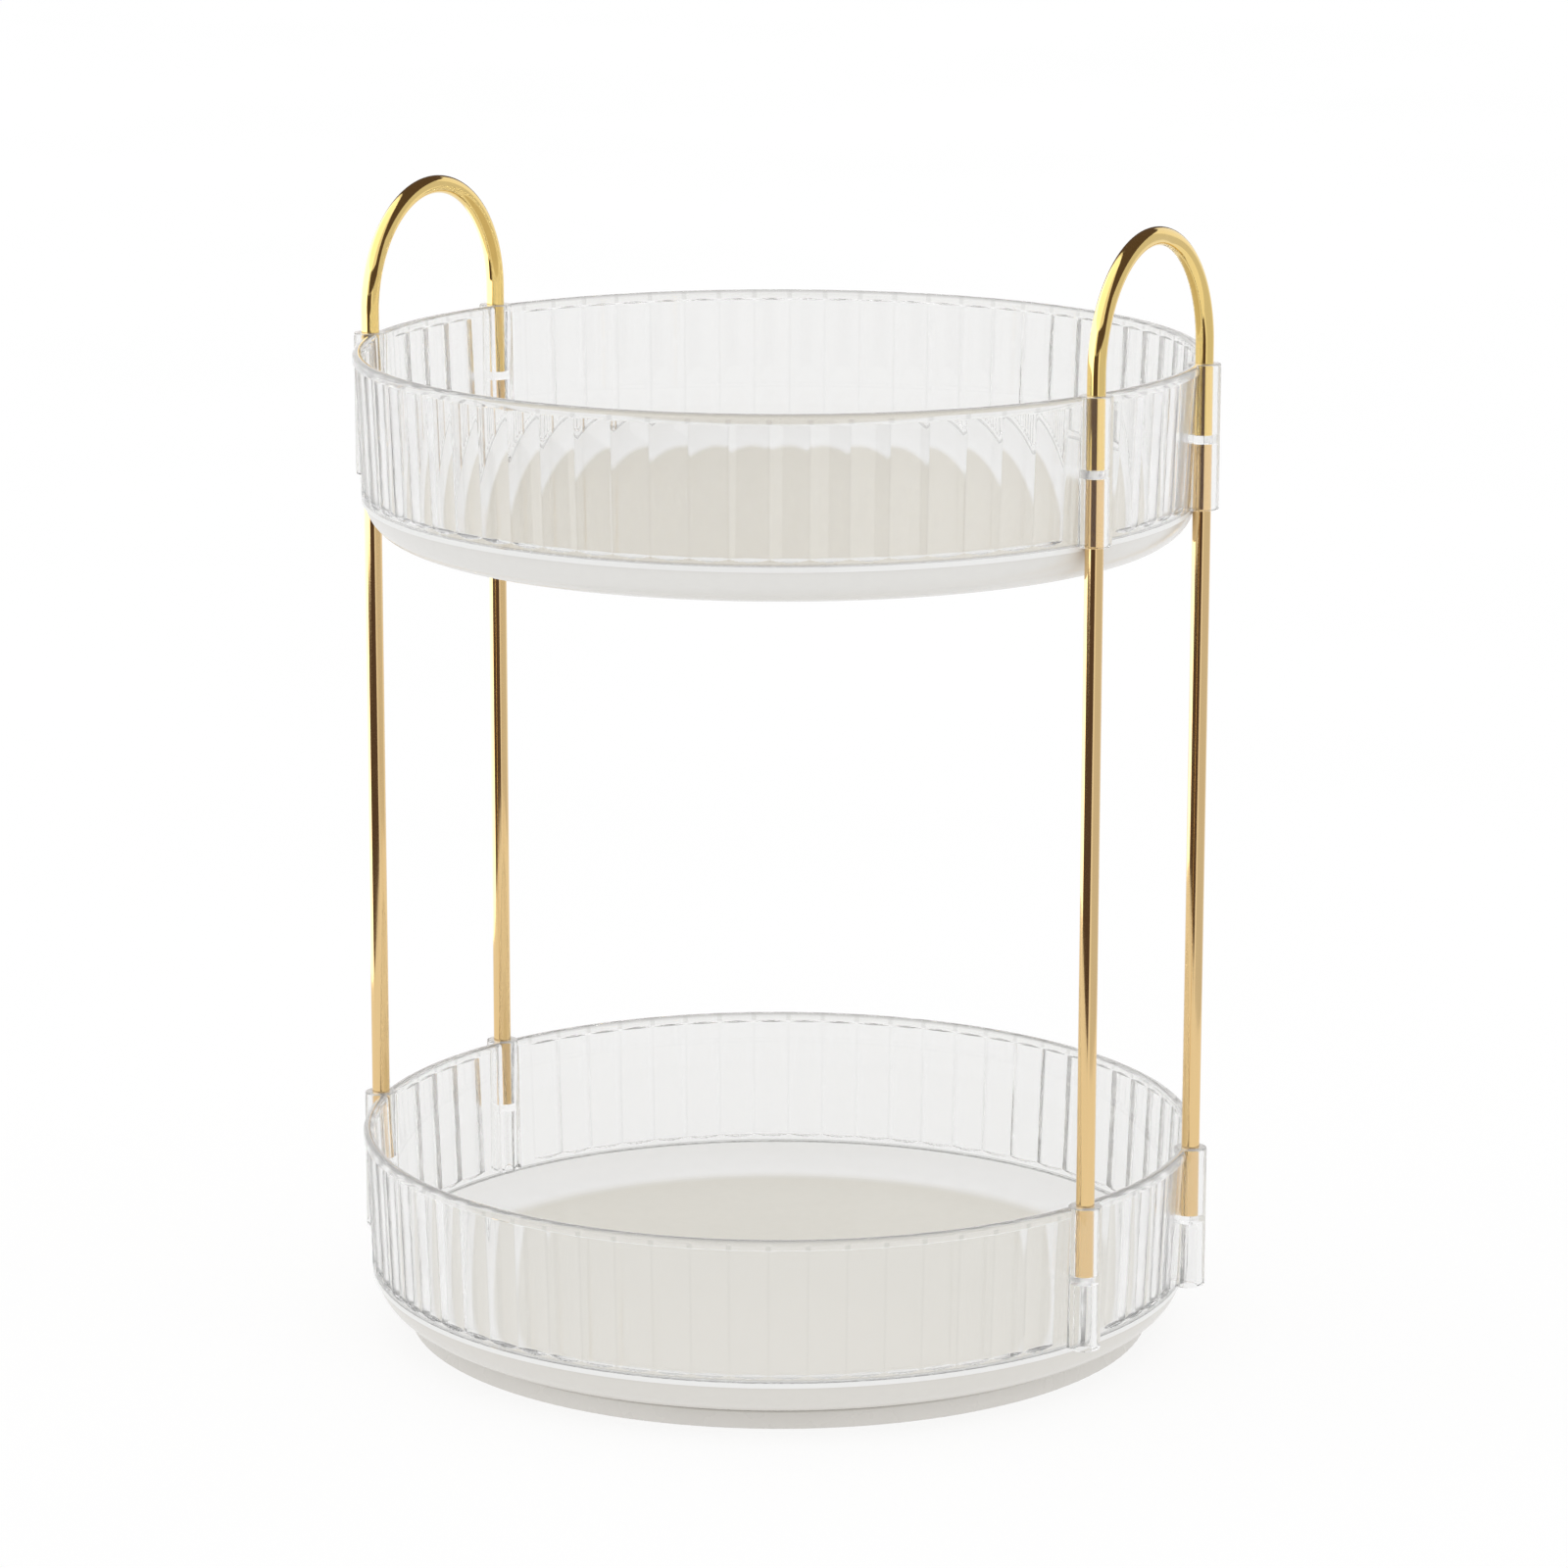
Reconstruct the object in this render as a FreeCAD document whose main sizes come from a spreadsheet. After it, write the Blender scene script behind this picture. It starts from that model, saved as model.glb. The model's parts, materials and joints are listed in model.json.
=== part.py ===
import FreeCAD, Part
import math
import os

import Sketcher

# Two-tier turntable organiser, millimetres.  +Z is up, the floor is z = 0 and the Z axis is the
# axis of rotation.  The two carrying handles stand at +X and -X.

Vector = FreeCAD.Vector
Placement = FreeCAD.Placement
Rotation = FreeCAD.Rotation

DIMENSIONS = {
    # rubber feet
    "pad_radius": 6.0,
    "pad_height": 1.6,
    "pad_edge": 0.4,
    "pad_circle": 92.0,
    "pad_count": 6,
    "pad_proud": 0.6,
    "pad_pocket_gap": 0.05,
    # standing base
    "base_foot_radius": 104.8,
    "base_head_radius": 103.9,
    "base_top": 5.3,
    "base_edge": 0.7,
    "base_rim_width": 2.6,
    "base_deck": 3.0,
    "base_recess_inner": 22.0,
    "base_recess_outer": 84.0,
    "base_recess_roof": 1.6,
    "base_rib_count": 12,
    "base_rib_width": 1.4,
    # ball bearing between base and lower pan
    "ball_radius": 2.0,
    "ball_circle": 60.0,
    "ball_centre": 5.2,
    "ball_count": 24,
    "race_radius": 2.05,
    "race_width": 10.0,
    "base_race_top": 4.0,
    "pan_race_bottom": 6.4,
    "cage_width": 8.8,
    "cage_height": 1.4,
    # pivot
    "journal_radius": 8.0,
    "journal_bottom": 3.6,
    "journal_clearance": 0.05,
    "hub_bore_radius": 9.5,
    "hub_radius": 15.0,
    "hub_roof": 3.7,
    "hub_top": 5.7,
    "hub_recess_radius": 12.5,
    "bush_flange_radius": 12.0,
    "bush_flange_top": 6.5,
    "shoulder_radius": 11.0,
    "shoulder_bottom": 6.6,
    "washer_radius": 11.0,
    "washer_hole": 2.15,
    "washer_bottom": 2.8,
    "screw_radius": 2.0,
    "screw_tip": 8.8,
    "screw_hole_top": 9.0,
    "screw_head_radius": 4.2,
    "screw_head_height": 1.7,
    "screw_head_edge": 1.1,
    "screw_slot_length": 4.4,
    "screw_slot_width": 0.9,
    "screw_slot_depth": 1.0,
    # white pan under each tray
    "floor_top": 10.4,
    "floor_bottom": 8.5,
    "floor_radius": 99.4,
    "land_height": 17.0,
    "land_inner": 112.4,
    "land_outer": 115.4,
    "land_thickness": 1.4,
    "bowl_radius": 114.9,
    "skirt_bottom": 5.9,
    "skirt_outer": 103.1,
    "skirt_inner": 101.0,
    "groove_inner": 113.3,
    "groove_outer": 114.4,
    "groove_depth": 1.1,
    "pan_rib_count": 12,
    "pan_rib_width": 1.4,
    "pan_rib_drop": 1.0,
    "pan_rib_start": 14.0,
    # clear fluted wall of each tray
    "wall_height": 40.0,
    "wall_foot_outer": 115.5,
    "wall_head_outer": 117.0,
    "wall_foot_inner": 112.9,
    "wall_head_inner": 114.6,
    "lip_radius": 117.5,
    "lip_height": 2.6,
    "lip_edge": 1.4,
    "tongue_inner": 113.4,
    "tongue_outer": 114.3,
    "tongue_depth": 1.0,
    "flute_count": 70,
    "flute_depth": 0.95,
    "flute_axis": 131.6,
    "flute_end_clear": 0.12,
    "foot_band": 1.2,
    "flute_foot_run": 1.0,
    "flute_head_run": 0.4,
    "long_arc_flutes": 27,
    "short_arc_flutes": 4,
    # sockets moulded into the wall
    "socket_circle": 118.0,
    "socket_half_angle": 16.03,
    "socket_radius": 4.6,
    "socket_bore": 2.55,
    "socket_head_depth": 19.4,
    "socket_foot_depth": 18.2,
    # gold tubes
    "tube_radius": 2.5,
    "tube_inner": 1.9,
    "handle_leg": 24.8,
    "tier_spacing": 220.3,
}

doc = FreeCAD.newDocument("turntable_organiser")
sheet = doc.addObject("Spreadsheet::Sheet", "Dims")
for row, (alias, number) in enumerate(DIMENSIONS.items(), start=1):
    sheet.set(f"A{row}", alias)
    sheet.set(f"B{row}", str(number))
    sheet.setAlias(f"B{row}", alias)
doc.recompute()

SUB_PARTS = []


def dim(text):
    """Expression text with every bare alias pointed at the spreadsheet."""
    words = []
    for word in text.split():
        name = word.strip("()")
        words.append(word.replace(name, "Dims." + name) if name in DIMENSIONS else word)
    return " ".join(words)


def value(text):
    """Present value of an expression, as a plain number."""
    return float(sheet.evalExpression(dim(text)))


def sub_part(kind, label):
    """A document object that becomes one STEP file."""
    piece = doc.addObject(kind, label)
    piece.Label = label
    SUB_PARTS.append(piece)
    return piece


def lift(piece, axis, text):
    """Bind one coordinate of a sub-part's placement."""
    piece.setExpression("Placement.Base." + axis, dim(text))


def origin_feature(body, role):
    return next(item for item in body.Origin.OriginFeatures if item.Role == role)


def new_sketch(body, name, role="XZ_Plane"):
    """Empty sketch on one of the body's own origin planes."""
    sketch = body.newObject("Sketcher::SketchObject", name)
    sketch.AttachmentSupport = [(origin_feature(body, role), "")]
    sketch.MapMode = "FlatFace"
    return sketch


def bind(sketch, constraint, text):
    """Add a dimensional constraint whose value is an expression."""
    index = sketch.addConstraint(constraint)
    sketch.setExpression(f"Constraints[{index}]", dim(text))


def pin(sketch, edge, end, across, up):
    """Fix one end of an edge at (across, up) from the sketch's origin."""
    for kind, axis, text in (("DistanceX", -2, across), ("DistanceY", -1, up)):
        if text == "0":
            sketch.addConstraint(Sketcher.Constraint("PointOnObject", edge, end, axis))
        else:
            bind(sketch, Sketcher.Constraint(kind, -1, 1, edge, end, value(text)), text)


def arc_between(start, finish, radius, turn):
    """Arc of a circle from start to finish, turning left (+1) or right (-1)."""
    chord = finish - start
    height = math.sqrt(max(radius ** 2 - (chord.Length / 2) ** 2, 0.0))
    side = Vector(-chord.y, chord.x, 0).normalize()
    centre = (start + finish) / 2 + side * (turn * height)
    angles = [math.atan2(point.y - centre.y, point.x - centre.x) for point in (start, finish)]
    if turn < 0:
        angles.reverse()
    return Part.ArcOfCircle(Part.Circle(centre, Vector(0, 0, 1), radius), *angles)


def outline(sketch, corners):
    """Closed chain of edges through the corners, every size bound to the spreadsheet.

    A corner is (across, up), or (across, up, radius, turn) where the edge that leaves it is an
    arc of that radius which turns left (+1) or right (-1).
    """
    places = [Vector(value(corner[0]), value(corner[1]), 0) for corner in corners]
    ends = []
    for index, corner in enumerate(corners):
        start, finish = places[index], places[(index + 1) % len(places)]
        if len(corner) == 2:
            edge = sketch.addGeometry(Part.LineSegment(start, finish), False)
            ends.append((edge, 1, 2))
        else:
            arc = arc_between(start, finish, value(corner[2]), corner[3])
            edge = sketch.addGeometry(arc, False)
            ends.append((edge, 1, 2) if corner[3] > 0 else (edge, 2, 1))
    for index, corner in enumerate(corners):
        edge, first, last = ends[index]
        following, follow_first, _ = ends[(index + 1) % len(ends)]
        sketch.addConstraint(Sketcher.Constraint("Coincident", edge, last, following, follow_first))
        pin(sketch, edge, first, corner[0], corner[1])
        if len(corner) > 2:
            bind(sketch, Sketcher.Constraint("Radius", edge, value(corner[2])), corner[2])


def circle(sketch, across, up, radius):
    """Circle with its centre and radius bound to the spreadsheet."""
    centre = Vector(value(across), value(up), 0)
    edge = sketch.addGeometry(Part.Circle(centre, Vector(0, 0, 1), value(radius)), False)
    pin(sketch, edge, 3, across, up)
    bind(sketch, Sketcher.Constraint("Radius", edge, value(radius)), radius)


def solid_feature(body, kind, name, sketch):
    feature = body.newObject(kind, name)
    feature.Profile = sketch
    sketch.Visibility = False
    return feature


def turned(body, name, corners):
    """Solid of revolution about Z from an outline of (radius, height) corners."""
    sketch = new_sketch(body, name + "_outline")
    outline(sketch, corners)
    feature = solid_feature(body, "PartDesign::Revolution", name, sketch)
    feature.ReferenceAxis = (origin_feature(body, "Z_Axis"), [""])
    feature.Angle = 360
    doc.recompute()
    return feature


def pad(body, name, sketch, length):
    feature = solid_feature(body, "PartDesign::Pad", name, sketch)
    feature.setExpression("Length", dim(length))
    doc.recompute()
    return feature


def pocket(body, name, sketch, depth, upward):
    """Blind pocket from the sketch plane, which has to take material away."""
    before = body.Shape.Volume
    feature = solid_feature(body, "PartDesign::Pocket", name, sketch)
    feature.setExpression("Length", dim(depth))
    feature.Reversed = upward
    doc.recompute()
    assert body.Shape.Volume < before - 0.01, name + " cuts nothing"
    return feature


def raise_sketch(sketch, height):
    """Move a horizontal sketch up to a height above the body's own origin."""
    sketch.AttachmentOffset = Placement(Vector(0, 0, value(height)), Rotation())
    sketch.setExpression("AttachmentOffset.Base.z", dim(height))


def around(body, name, feature, count, span):
    """Repeat a feature about Z: count copies over the span, both expressions."""
    pattern = body.newObject("PartDesign::PolarPattern", name)
    pattern.Originals = [feature]
    pattern.Axis = (origin_feature(body, "Z_Axis"), [""])
    pattern.setExpression("Occurrences", dim(count))
    pattern.setExpression("Angle", dim(span))
    body.Tip = pattern
    doc.recompute()
    return pattern


def radial_bar(sketch, inner, outer, width):
    """Rectangle along +X from the inner to the outer radius."""
    half = f"{width} / 2"
    outline(sketch, [(inner, f"0 - {half}"), (outer, f"0 - {half}"), (outer, half), (inner, half)])


# ---------------------------------------------------------------- standing base and its feet

RACE_EDGE_BASE = "sqrt( race_radius ^ 2 - ( ball_centre - base_race_top ) ^ 2 )"
RACE_EDGE_PAN = "sqrt( race_radius ^ 2 - ( pan_race_bottom - ball_centre ) ^ 2 )"
PATTERN_TURN = "360"


def make_base_plate():
    """White disc that stands still: rim, deck, lower ball race, pivot hub and pad pockets."""
    body = sub_part("PartDesign::Body", "base_plate")
    race_in = "ball_circle - race_width / 2"
    race_out = "ball_circle + race_width / 2"
    rim_in = "base_head_radius - base_rim_width"
    turned(body, "base_disc", [
        ("hub_bore_radius", "hub_roof"),
        ("hub_recess_radius", "hub_roof"),
        ("hub_recess_radius", "pad_proud"),
        ("base_recess_inner", "pad_proud"),
        ("base_recess_inner", "base_recess_roof"),
        ("base_recess_outer", "base_recess_roof"),
        ("base_recess_outer", "pad_proud"),
        ("base_foot_radius - base_edge / 2", "pad_proud", "base_edge / 2", 1),
        ("base_foot_radius", "pad_proud + base_edge / 2"),
        ("base_head_radius", "base_top - base_edge", "base_edge", 1),
        ("base_head_radius - base_edge", "base_top"),
        (rim_in, "base_top"),
        (rim_in, "base_deck"),
        (race_out, "base_deck"),
        (race_out, "base_race_top"),
        (f"ball_circle + {RACE_EDGE_BASE}", "base_race_top", "race_radius", -1),
        (f"ball_circle - {RACE_EDGE_BASE}", "base_race_top"),
        (race_in, "base_race_top"),
        (race_in, "base_deck"),
        ("hub_radius", "base_deck"),
        ("hub_radius", "hub_top"),
        ("hub_bore_radius", "hub_top"),
    ])
    rib = new_sketch(body, "base_rib_outline", "XY_Plane")
    raise_sketch(rib, "pad_proud")
    radial_bar(rib, "base_recess_inner - 1", "base_recess_outer + 1", "base_rib_width")
    first_rib = pad(body, "base_rib", rib, "base_recess_roof - pad_proud + 0.5")
    around(body, "base_ribs", first_rib, "base_rib_count", PATTERN_TURN)
    seat = new_sketch(body, "pad_pocket_outline", "XY_Plane")
    raise_sketch(seat, "pad_proud")
    circle(seat, "pad_circle", "0", "pad_radius + pad_pocket_gap")
    first_seat = pocket(body, "pad_pocket", seat, "pad_height - pad_proud", True)
    around(body, "pad_pockets", first_seat, "pad_count", PATTERN_TURN)


def make_foot_pads():
    """Soft discs let into the underside of the base."""
    count = int(value("pad_count"))
    for index in range(count):
        body = sub_part("PartDesign::Body", f"foot_pad_{index + 1}")
        turned(body, "pad_disc", [
            ("0", "0"),
            ("pad_radius - pad_edge", "0"),
            ("pad_radius", "pad_edge"),
            ("pad_radius", "pad_height"),
            ("0", "pad_height"),
        ])
        angle = f"{index} * 360 / pad_count"
        lift(body, "x", f"pad_circle * cos( {angle} )")
        lift(body, "y", f"pad_circle * sin( {angle} )")


# ---------------------------------------------------------------- bearing and pivot

def make_hub_bush():
    """Flanged sleeve pressed into the hub, where the journal of the lower pan turns."""
    body = sub_part("PartDesign::Body", "hub_bush")
    bore = "journal_radius + journal_clearance"
    turned(body, "bush_sleeve", [
        (bore, "hub_roof"),
        ("hub_bore_radius", "hub_roof"),
        ("hub_bore_radius", "hub_top"),
        ("bush_flange_radius", "hub_top"),
        ("bush_flange_radius", "bush_flange_top"),
        (bore, "bush_flange_top"),
    ])


def make_ball_cage():
    """Flat ring that keeps the balls apart."""
    body = sub_part("PartDesign::Body", "ball_cage")
    inner = "ball_circle - cage_width / 2"
    outer = "ball_circle + cage_width / 2"
    bottom = "ball_centre - cage_height / 2"
    top = "ball_centre + cage_height / 2"
    turned(body, "cage_ring", [(inner, bottom), (outer, bottom), (outer, top), (inner, top)])
    window = new_sketch(body, "cage_window_outline", "XY_Plane")
    raise_sketch(window, bottom)
    circle(window, "ball_circle", "0", "race_radius")
    first_window = pocket(body, "cage_window", window, "cage_height", True)
    around(body, "cage_windows", first_window, "ball_count", PATTERN_TURN)


def make_bearing_balls():
    """Ring of loose steel balls, one in each window of the cage."""
    count = int(value("ball_count"))
    balls = []
    for index in range(count):
        ball = doc.addObject("Part::Sphere", f"ball_{index + 1}")
        angle = f"{index} * 360 / ball_count"
        ball.setExpression("Radius", dim("ball_radius"))
        lift(ball, "x", f"ball_circle * cos( {angle} )")
        lift(ball, "y", f"ball_circle * sin( {angle} )")
        lift(ball, "z", "ball_centre")
        balls.append(ball)
    group = sub_part("Part::Compound", "bearing_balls")
    group.Links = balls


def make_pivot_washer():
    """Steel disc under the journal that stops the turntable from lifting out."""
    body = sub_part("PartDesign::Body", "pivot_washer")
    turned(body, "washer_disc", [
        ("washer_hole", "washer_bottom"),
        ("washer_radius", "washer_bottom"),
        ("washer_radius", "journal_bottom"),
        ("washer_hole", "journal_bottom"),
    ])


def make_pivot_screw():
    """Cross-head screw, driven up through the washer into the journal."""
    body = sub_part("PartDesign::Body", "pivot_screw")
    head_bottom = "washer_bottom - screw_head_height"
    turned(body, "screw_blank", [
        ("0", head_bottom),
        ("screw_head_radius - screw_head_edge", head_bottom, "screw_head_edge", 1),
        ("screw_head_radius", f"{head_bottom} + screw_head_edge"),
        ("screw_head_radius", "washer_bottom"),
        ("screw_radius", "washer_bottom"),
        ("screw_radius", "screw_tip - screw_radius / 2"),
        ("screw_radius / 2", "screw_tip"),
        ("0", "screw_tip"),
    ])
    half_long = "screw_slot_length / 2"
    half_wide = "screw_slot_width / 2"
    for name, across, up in (("slot_x", half_long, half_wide), ("slot_y", half_wide, half_long)):
        slot = new_sketch(body, name + "_outline", "XY_Plane")
        raise_sketch(slot, head_bottom)
        outline(slot, [
            (f"0 - {across}", f"0 - {up}"),
            (across, f"0 - {up}"),
            (across, up),
            (f"0 - {across}", up),
        ])
        pocket(body, name, slot, "screw_slot_depth", True)


# ---------------------------------------------------------------- trays

def tangent_radius(run, rise):
    """Radius of the arc that leaves a level edge and climbs the rise over the run."""
    return f"( ( {run} ) ^ 2 + ( {rise} ) ^ 2 ) / ( 2 * ( {rise} ) )"


COVE_RADIUS = tangent_radius("land_inner - floor_radius", "land_height - floor_top")
BOWL_RADIUS = tangent_radius("bowl_radius - skirt_outer",
                             "land_height - land_thickness - skirt_bottom")

BEARING_UNDERSIDE = [
    ("ball_circle + race_width / 2", "floor_bottom"),
    ("ball_circle + race_width / 2", "pan_race_bottom"),
    (f"ball_circle + {RACE_EDGE_PAN}", "pan_race_bottom", "race_radius", 1),
    (f"ball_circle - {RACE_EDGE_PAN}", "pan_race_bottom"),
    ("ball_circle - race_width / 2", "pan_race_bottom"),
    ("ball_circle - race_width / 2", "floor_bottom"),
    ("shoulder_radius", "floor_bottom"),
    ("shoulder_radius", "shoulder_bottom"),
    ("journal_radius", "shoulder_bottom"),
    ("journal_radius", "journal_bottom"),
    ("screw_radius", "journal_bottom"),
    ("screw_radius", "screw_hole_top"),
    ("0", "screw_hole_top"),
]
PLAIN_UNDERSIDE = [("0", "floor_bottom")]


def make_pan(label, underside, height):
    """White dish: flat floor, cove, land with a groove for the wall, round-bellied underside."""
    body = sub_part("PartDesign::Body", label)
    turned(body, "dish", [
        ("0", "floor_top"),
        ("floor_radius", "floor_top", COVE_RADIUS, 1),
        ("land_inner", "land_height"),
        ("groove_inner", "land_height"),
        ("groove_inner", "land_height - groove_depth"),
        ("groove_outer", "land_height - groove_depth"),
        ("groove_outer", "land_height"),
        ("land_outer", "land_height"),
        ("land_outer", "land_height - land_thickness"),
        ("bowl_radius", "land_height - land_thickness", BOWL_RADIUS, -1),
        ("skirt_outer", "skirt_bottom"),
        ("skirt_inner", "skirt_bottom"),
        ("skirt_inner", "floor_bottom"),
    ] + underside)
    rib = new_sketch(body, "rib_outline", "XY_Plane")
    raise_sketch(rib, "floor_bottom - pan_rib_drop")
    radial_bar(rib, "pan_rib_start", "skirt_inner + 1", "pan_rib_width")
    first_rib = pad(body, "rib", rib, "pan_rib_drop + 0.5")
    around(body, "ribs", first_rib, "pan_rib_count", PATTERN_TURN)
    if height != "0":
        lift(body, "z", height)


SOCKET_X = "socket_circle * cos( socket_half_angle )"
SOCKET_Y = "socket_circle * sin( socket_half_angle )"
PITCH = "360 / flute_count"
LONG_ARC_START = f"90 - ( long_arc_flutes - 1 ) / 2 * {PITCH}"
SHORT_ARC_START = f"0 - ( short_arc_flutes - 1 ) / 2 * {PITCH}"
FLUTED_ARCS = (
    ("right", SHORT_ARC_START, "short_arc_flutes"),
    ("rear", LONG_ARC_START, "long_arc_flutes"),
    ("left", f"180 + {SHORT_ARC_START}", "short_arc_flutes"),
    ("front", f"180 + {LONG_ARC_START}", "long_arc_flutes"),
)


def cut_flutes(body, name, start, count):
    """Row of shallow concave flutes that end short of the lip and of the foot band."""
    shape_before = body.Shape.Volume
    sketch = new_sketch(body, name + "_flute_outline")
    sketch.AttachmentOffset = Placement(Vector(), Rotation(Vector(0, 1, 0), value(start)))
    sketch.setExpression("AttachmentOffset.Rotation.Angle", dim(start))
    head = "wall_height - lip_height"
    outline(sketch, [
        ("flute_axis", "foot_band"),
        ("flute_axis", head),
        ("wall_head_outer + flute_end_clear", head),
        ("wall_head_outer - flute_depth", f"{head} - flute_head_run"),
        ("wall_foot_outer - flute_depth", "foot_band + flute_foot_run"),
        ("wall_foot_outer + flute_end_clear", "foot_band"),
    ])
    groove = solid_feature(body, "PartDesign::Groove", name + "_flute", sketch)
    groove.ReferenceAxis = (sketch, ["Edge1"])
    groove.Angle = 360
    doc.recompute()
    around(body, name + "_flutes", groove, count, f"( {count} - 1 ) * {PITCH}")
    assert body.Shape.Volume < shape_before - 1, name + " flutes cut nothing"


def make_wall(label, height):
    """Clear ring: drafted wall, plain lip and foot bands, flutes and four tube sockets."""
    body = sub_part("PartDesign::Body", label)
    lip_bottom = "wall_height - lip_height"
    turned(body, "ring", [
        ("wall_foot_inner", "0"),
        ("tongue_inner", "0"),
        ("tongue_inner", "0 - tongue_depth"),
        ("tongue_outer", "0 - tongue_depth"),
        ("tongue_outer", "0"),
        ("wall_foot_outer", "0"),
        ("wall_head_outer", lip_bottom),
        ("lip_radius", lip_bottom),
        ("lip_radius", "wall_height - lip_edge", "lip_edge", 1),
        ("lip_radius - lip_edge", "wall_height"),
        ("wall_head_inner + lip_edge", "wall_height", "lip_edge", 1),
        ("wall_head_inner", "wall_height - lip_edge"),
    ])
    for name, start, count in FLUTED_ARCS:
        cut_flutes(body, name, start, count)
    corners = [(sign_x + SOCKET_X, sign_y + SOCKET_Y) for sign_x in ("", "0 - ") for sign_y in ("", "0 - ")]
    boss = new_sketch(body, "socket_outline", "XY_Plane")
    for x, y in corners:
        circle(boss, x, y, "socket_radius")
    pad(body, "sockets", boss, "wall_height")
    head_bore = new_sketch(body, "head_bore_outline", "XY_Plane")
    raise_sketch(head_bore, "wall_height")
    foot_bore = new_sketch(body, "foot_bore_outline", "XY_Plane")
    for x, y in corners:
        circle(head_bore, x, y, "socket_bore")
        circle(foot_bore, x, y, "socket_bore")
    pocket(body, "head_bores", head_bore, "socket_head_depth", False)
    pocket(body, "foot_bores", foot_bore, "socket_foot_depth", True)
    lift(body, "z", height)


# ---------------------------------------------------------------- gold tubes

WEB_TOP = "land_height + wall_height - socket_head_depth"
WEB_BOTTOM = "land_height + socket_foot_depth"


def make_posts():
    """Four straight tubes: each stands on the web of a lower socket and carries an upper one."""
    for end_name, end_sign in (("left", "0 - "), ("right", "")):
        for side_name, side_sign in (("front", "0 - "), ("back", "")):
            body = sub_part("PartDesign::Body", f"post_{side_name}_{end_name}")
            ring = new_sketch(body, "tube_outline", "XY_Plane")
            circle(ring, "0", "0", "tube_radius")
            circle(ring, "0", "0", "tube_inner")
            pad(body, "tube", ring, f"{WEB_BOTTOM} + tier_spacing - ( {WEB_TOP} )")
            lift(body, "x", end_sign + SOCKET_X)
            lift(body, "y", side_sign + SOCKET_Y)
            lift(body, "z", WEB_TOP)


def make_handle(label, end_sign):
    """Hoop of bent tube whose two legs stand in a pair of upper sockets."""
    body = sub_part("PartDesign::Body", label)
    path = new_sketch(body, "hoop_path", "YZ_Plane")
    reach, leg = value(SOCKET_Y), value("handle_leg")
    bow = path.addGeometry(
        Part.ArcOfCircle(Part.Circle(Vector(0, leg, 0), Vector(0, 0, 1), reach), 0, math.pi), False)
    pin(path, bow, 3, "0", "handle_leg")
    bind(path, Sketcher.Constraint("Radius", bow, reach), SOCKET_Y)
    for side, bow_end in ((-reach, 2), (reach, 1)):
        foot, head = Vector(side, 0, 0), Vector(side, leg, 0)
        upright = path.addGeometry(Part.LineSegment(foot, head), False)
        path.addConstraint(Sketcher.Constraint("Coincident", upright, 2, bow, bow_end))
        path.addConstraint(Sketcher.Constraint("Vertical", upright))
        path.addConstraint(Sketcher.Constraint("PointOnObject", upright, 1, -1))
        bind(path, Sketcher.Constraint("DistanceY", -1, 1, upright, 2, leg), "handle_leg")
    ring = new_sketch(body, "hoop_section", "XY_Plane")
    circle(ring, "0", "0 - " + SOCKET_Y, "tube_radius")
    circle(ring, "0", "0 - " + SOCKET_Y, "tube_inner")
    hoop = solid_feature(body, "PartDesign::AdditivePipe", "hoop", ring)
    hoop.Spine = (path, ["Edge2", "Edge1", "Edge3"])
    path.Visibility = False
    doc.recompute()
    lift(body, "x", end_sign + SOCKET_X)
    lift(body, "z", f"{WEB_TOP} + tier_spacing")


make_base_plate()
make_foot_pads()
make_hub_bush()
make_ball_cage()
make_bearing_balls()
make_pivot_washer()
make_pivot_screw()
make_pan("lower_pan", BEARING_UNDERSIDE, "0")
make_pan("upper_pan", PLAIN_UNDERSIDE, "tier_spacing")
make_wall("lower_wall", "land_height")
make_wall("upper_wall", "land_height + tier_spacing")
make_posts()
make_handle("handle_left", "0 - ")
make_handle("handle_right", "")
doc.recompute()

# ---------------------------------------------------------------- checks and files

for item in doc.Objects:
    faults = [state for state in item.State if state in ("Invalid", "Error")]
    assert not faults, f"{item.Label}: {faults}"
for piece in SUB_PARTS:
    assert not piece.Shape.isNull(), piece.Label + " is empty"
    assert piece.Shape.isValid(), piece.Label + " is not valid"
    assert piece.Shape.Solids, piece.Label + " has no solid"

os.makedirs("parts", exist_ok=True)
for piece in SUB_PARTS:
    piece.Shape.exportStep(f"parts/{piece.Label}.step")
    box = piece.Shape.BoundBox
    print(f"{piece.Label:20s} {len(piece.Shape.Solids):3d} solids {piece.Shape.Volume:10.1f} mm3"
          f"  x {box.XMin:7.2f}..{box.XMax:7.2f}  y {box.YMin:7.2f}..{box.YMax:7.2f}"
          f"  z {box.ZMin:7.2f}..{box.ZMax:7.2f}")
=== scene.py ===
import json
import math

import bpy
from mathutils import Matrix, Vector


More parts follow.
